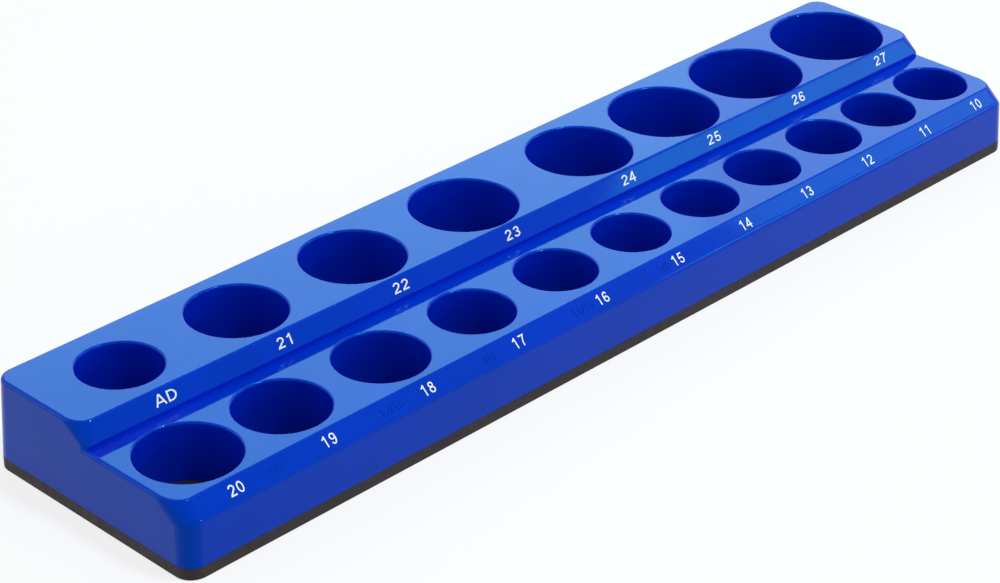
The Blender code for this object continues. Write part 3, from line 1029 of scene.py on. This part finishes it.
class MakeBase(bpy.types.Operator):
    """Make the base plate with a pocket for each magnet and a sink for each screw"""

    bl_idname = "socket_rail.base"
    bl_label = "Base plate"

    def execute(self, context):
        sizes = context.scene.rail_sizes
        finish = sparked_base(context.scene.rail_finishes.base_brown)
        top = body_low.z - sizes.seam
        corner_steps = 12
        levels = upright(sizes.corner_radius, (0.0, top), (sizes.base_edge, sizes.parting_round), 4)
        bm = bmesh.new()
        rings = []
        x, y = -left_x - sizes.corner_radius, -front_y - sizes.corner_radius
        for radius, z in levels:
            ring = []
            for turn, (sx, sy) in enumerate(((1, 1), (-1, 1), (-1, -1), (1, -1))):
                for i in range(corner_steps + 1):
                    angle = math.pi / 2 * (turn + i / corner_steps)
                    across, back = radius * math.cos(angle), radius * math.sin(angle)
                    ring.append(bm.verts.new((sx * x + across, sy * y + back, z)))
            rings.append(ring)
        barrel(bm, rings)
        plate = new_object("dark_base", mesh_from("dark_base", bm), finish)

        bm = bmesh.new()
        lead = sizes.pocket_play
        for name in front_wells + rear_wells:
            low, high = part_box("magnet_" + name)
            radius = (high.x - low.x) / 2 + sizes.pocket_play
            place = ((low.x + high.x) / 2, (low.y + high.y) / 2)
            profile = ((radius + lead, -OVERRUN), (radius + lead, 0.0), (radius, lead))
            profile += ((radius, high.z + sizes.pocket_play),)
            turned(bm, profile, segments=64, place=place)
        pockets = new_object("pockets", mesh_from("pockets", bm))
        low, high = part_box(screw_names[0])
        head = (high.x - low.x) / 2 + sizes.pocket_play
        pilot = sizes.pilot_radius
        profile = ((head, -OVERRUN), (head, low.z), (pilot, low.z + head - pilot))
        profile += ((pilot, top + OVERRUN),)
        sinks = turned_object("sinks", profile, segments=40, places=middles(screw_names))
        cut(plate, pockets, sinks)
        settle_shading(plate)
        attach(plate, "root")
        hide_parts("base_plate")
        return {"FINISHED"}


class MakeMagnets(bpy.types.Operator):
    """Set one disc magnet under each well"""

    bl_idname = "socket_rail.magnets"
    bl_label = "Magnets"

    def execute(self, context):
        edge = context.scene.rail_sizes.magnet_edge
        nickel = context.scene.rail_finishes.nickel
        finish = plated_metal("nickel_plate", nickel, smooth=0.16, dull=0.3, grain=0.5 * MM)
        names = front_wells + rear_wells
        boxes = [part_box("magnet_" + name) for name in names]
        low, high = boxes[0]
        unit = (high.x - low.x) / 2
        profile = upright(unit, (low.z, high.z), (edge, edge), 3)
        disc = turned_object("disc", profile, segments=96, places=[(0.0, 0.0)])
        settle_shading(disc)
        scales = [(b.x - a.x) / 2 / unit for a, b in boxes]
        magnets = set_out("disc_magnets", disc, well_places(names), scales, finish)
        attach(magnets, "root")
        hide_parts(*["magnet_" + name for name in names])
        return {"FINISHED"}


def screw_blank(sizes, low_z, high_z, head):
    """A screw on the Z axis with its head down, before its recess is cut."""
    segments, turn_steps = 32, 6
    thread_radius, tip_length, blunt = 1.45 * MM, 2.2 * MM, 0.2 * MM
    tip_radius, tip_share = 0.15 * MM, 0.25
    bevel, rim_foot, rim_top = 0.15 * MM, 0.1 * MM, 0.25 * MM
    flank = 5  # the thread falls from its crest to the core in a fifth of its pitch

    core = thread_radius - sizes.screw_crest
    neck = low_z + head - core
    tip = high_z - tip_length
    levels = [(head - bevel, low_z), (head, low_z + rim_foot), (head, low_z + rim_top)]
    levels.append((core, neck))
    z = neck
    step = sizes.screw_pitch / turn_steps
    while z + step < high_z - blunt:
        z += step
        levels.append((None, z))
    levels.append((tip_radius, high_z))

    bm = bmesh.new()
    rings = []
    for radius, z in levels:
        ring = []
        for i in range(segments):
            turn = i / segments
            reach = radius
            if radius is None:
                phase = ((z - neck) / sizes.screw_pitch - turn) % 1.0
                crest = max(0.0, 1 - abs(phase - 0.5) * flank) * sizes.screw_crest
                taper = min(1.0, max(0.0, (high_z - z) / (high_z - tip)))
                reach = (core + crest) * (tip_share + (1 - tip_share) * taper)
            angle = math.tau * turn
            ring.append(bm.verts.new((reach * math.cos(angle), reach * math.sin(angle), z)))
        rings.append(ring)
    barrel(bm, rings)
    return new_object("screw", mesh_from("screw", bm))


def recess_arm(sizes, face_z, head, across):
    """One arm of the cross in a screw's head, drawn in towards its floor."""
    reach_at_mouth, reach_at_floor, draw = 0.62, 0.35, 0.8
    half = sizes.recess_width / 2
    mouth = (head * reach_at_mouth, half, face_z - sizes.recess_depth)
    floor = (head * reach_at_floor, half * draw, face_z + sizes.recess_depth)
    bm = bmesh.new()
    bmesh.ops.create_cube(bm, size=1.0)
    for vert in bm.verts:
        reach, side, z = floor if vert.co.z > 0 else mouth
        x, y = math.copysign(reach, vert.co.x), math.copysign(side, vert.co.y)
        vert.co = (x, y, z) if across else (-y, x, z)
    return new_object("recess_arm", mesh_from("recess_arm", bm))


class MakeScrews(bpy.types.Operator):
    """Drive eight countersunk screws with a cross recess through the base"""

    bl_idname = "socket_rail.screws"
    bl_label = "Screws"

    def execute(self, context):
        sizes = context.scene.rail_sizes
        zinc = context.scene.rail_finishes.zinc
        finish = plated_metal("zinc_plate", zinc, smooth=0.22, dull=0.4, grain=0.25 * MM)
        low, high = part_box(screw_names[0])
        head = (high.x - low.x) / 2
        screw = screw_blank(sizes, low.z, high.z, head)
        cut(screw, *[recess_arm(sizes, low.z, head, across) for across in (True, False)])
        settle_shading(screw)
        places = middles(screw_names)
        screws = set_out("cross_recess_screws", screw, places, [1.0] * len(places), finish)
        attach(screws, "root")
        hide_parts(*screw_names)
        return {"FINISHED"}


FLOOR_REACH = 4.0
GLOW_SHARE = 0.78  # of white light in the floor, as the camera and reflections see it
CARD_WAY, CARD_DISTANCE, CARD_HALF = (15, 49), 1.2, (0.25, 0.30)  # degrees, metres, metres
DAYLIGHT, COOL = (0.84, 0.97, 1.0), (0.5, 1.0, 1.0)

# Azimuth, elevation, distance, width, height, roll and tint of each lamp, in degrees and metres.
# The setting of the same name gives its strength.
LAMPS = {
    "key": (-64, 66, 1.4, 0.24, 0.24, 0, DAYLIGHT),
    "horizon_strip": (34, 9, 1.6, 0.32, 0.25, 0, DAYLIGHT),
    "low_side": (-41, 17, 1.5, 0.314, 0.34, -33, COOL),
    "high_side": (-27, 34, 1.5, 0.256, 0.34, -33, COOL),
    "panel": (45, 29, 1.6, 1.04, 0.62, 0, (0.42, 1.0, 0.9)),
    "left_panel": (53, 30, 1.5, 0.68, 0.55, 0, (0.25, 1.0, 1.0)),
    "fill": (135, 20, 1.5, 0.65, 0.65, 0, (1.0, 1.0, 1.0)),
    "spark": (-72, 17, 1.5, 0.08, 0.08, 0, DAYLIGHT),
}


def direction(azimuth, elevation):
    """The direction from the rail that these angles in degrees give."""
    around, above = math.radians(azimuth), math.radians(elevation)
    flat = math.cos(above)
    return Vector((flat * math.cos(around), flat * math.sin(around), math.sin(above)))


def rectangle(half_width, half_height):
    """Corners of a flat rectangle about the origin, anticlockwise."""
    signs = ((-1, -1), (1, -1), (1, 1), (-1, 1))
    return [Vector((x * half_width, y * half_height, 0.0)) for x, y in signs]


def sheet(name, corners, material):
    """An object of one face."""
    mesh = bpy.data.meshes.new(name)
    mesh.from_pydata(corners, [], [(0, 1, 2, 3)])
    return new_object(name, mesh, material)


def add_softbox(name, strength, azimuth, elevation, distance, width, height, roll, tint):
    """A rectangular lamp that faces the rail, its directions in degrees and seen from the rail."""
    way = direction(azimuth, elevation)
    lamp = bpy.data.lights.new(name, "AREA")
    lamp.shape = "RECTANGLE"
    lamp.size, lamp.size_y = width, height
    lamp.energy = math.pi * width * height * strength
    lamp.color = tint
    obj = new_object(name, lamp)
    obj.location = way * distance
    turn = way.to_track_quat("Z", "Y").to_matrix() @ Matrix.Rotation(math.radians(roll), 3, "Z")
    obj.rotation_euler = turn.to_euler()
    obj.visible_camera = False


class MakeStudio(bpy.types.Operator):
    """Set up the floor, the world, the lamps and the camera"""

    bl_idname = "socket_rail.studio"
    bl_label = "Studio"

    def execute(self, context):
        scene = context.scene
        studio = scene.rail_studio
        scene.view_settings.view_transform = "Standard"

        # A grey board, which the camera and reflections see nearly white but for the shadow.
        material, tree, place = new_material("painted_board")
        paint = scene.rail_finishes.floor
        mottle = remap(tree, noise(tree, place, 60 * MM, 3.0), 0.3, 0.7, 0.0, 1.0)
        grey = mixed_colour(tree, mottle, shaded(paint, 0.985), paint)
        seen = white_for_sight(tree)
        tone = mixed_colour(tree, seen, grey, WHITE[:3])
        inputs = {"Base Color": tone, "Roughness": 0.9}
        board = result(tree, "ShaderNodeBsdfPrincipled", inputs)
        glow = result(tree, "ShaderNodeEmission", {"Color": WHITE, "Strength": 1.0})
        inputs = {0: math_node(tree, "MULTIPLY", seen, GLOW_SHARE), 1: board, 2: glow}
        mix = result(tree, "ShaderNodeMixShader", inputs)
        add_node(tree, "ShaderNodeOutputMaterial", {"Surface": mix})
        floor = sheet("floor", rectangle(FLOOR_REACH, FLOOR_REACH), material)

        # A lit card with a cyan gel, high at the right, which the rounds and the step mirror.
        material, tree, _ = new_material("cyan_card")
        gel = (*scene.rail_finishes.card, 1.0)
        glow = result(tree, "ShaderNodeEmission", {"Color": gel, "Strength": 1.0})
        add_node(tree, "ShaderNodeOutputMaterial", {"Surface": glow})
        middle = direction(*CARD_WAY) * CARD_DISTANCE
        turn = middle.to_track_quat("Z", "Y").to_matrix()
        card = sheet("card", [middle + turn @ corner for corner in rectangle(*CARD_HALF)], material)
        card.visible_camera = False

        world = bpy.data.worlds.new("studio")
        world.use_nodes = True
        world.node_tree.nodes.clear()
        tree = world.node_tree
        inputs = {"Color": WHITE, "Strength": studio.ambient}
        light = result(tree, "ShaderNodeBackground", inputs)
        sight = result(tree, "ShaderNodeBackground", {"Color": WHITE, "Strength": 1.0})
        inputs = {0: white_for_sight(tree), 1: light, 2: sight}
        mix = result(tree, "ShaderNodeMixShader", inputs)
        add_node(tree, "ShaderNodeOutputWorld", {"Surface": mix})
        scene.world = world

        for name, form in LAMPS.items():
            add_softbox(name, getattr(studio, name), *form)

        camera = bpy.data.cameras.new("camera")
        camera.sensor_width = 36.0
        camera.lens = studio.focal_length
        camera.clip_start, camera.clip_end = 0.01, 20.0
        eye = new_object("camera", camera)
        eye.location = studio.camera_place
        aim = Vector(studio.camera_aim) - Vector(studio.camera_place)
        eye.rotation_euler = aim.to_track_quat("-Z", "Y").to_euler()
        scene.camera = eye
        return {"FINISHED"}


makers = (MakeTray, MakeNumbers, MakeInchMarks, MakeBase, MakeMagnets, MakeScrews, MakeStudio)


class RailPanel(bpy.types.Panel):
    """Lists what the rail is made of, with its sizes and colours"""

    bl_idname = "VIEW3D_PT_socket_rail"
    bl_label = "Socket rail"
    bl_space_type = "VIEW_3D"
    bl_region_type = "UI"
    bl_category = "Socket rail"

    def draw(self, context):
        layout = self.layout
        for maker in makers:
            layout.operator(maker.bl_idname)
        scene = context.scene
        for group in (scene.rail_sizes, scene.rail_finishes, scene.rail_studio):
            box = layout.box()
            for name in group.__annotations__:
                box.prop(group, name)


groups = {"rail_sizes": RailSizes, "rail_finishes": RailFinishes, "rail_studio": RailStudio}


def register():
    for cls in (*groups.values(), *makers, RailPanel):
        bpy.utils.register_class(cls)
    for name, group in groups.items():
        setattr(bpy.types.Scene, name, bpy.props.PointerProperty(type=group))


def unregister():
    for name in groups:
        delattr(bpy.types.Scene, name)
    for cls in reversed((*groups.values(), *makers, RailPanel)):
        bpy.utils.unregister_class(cls)


def main():
    register()
    for maker in makers:
        package, name = maker.bl_idname.split(".")
        getattr(getattr(bpy.ops, package), name)()


if __name__ == "__main__":
    main()
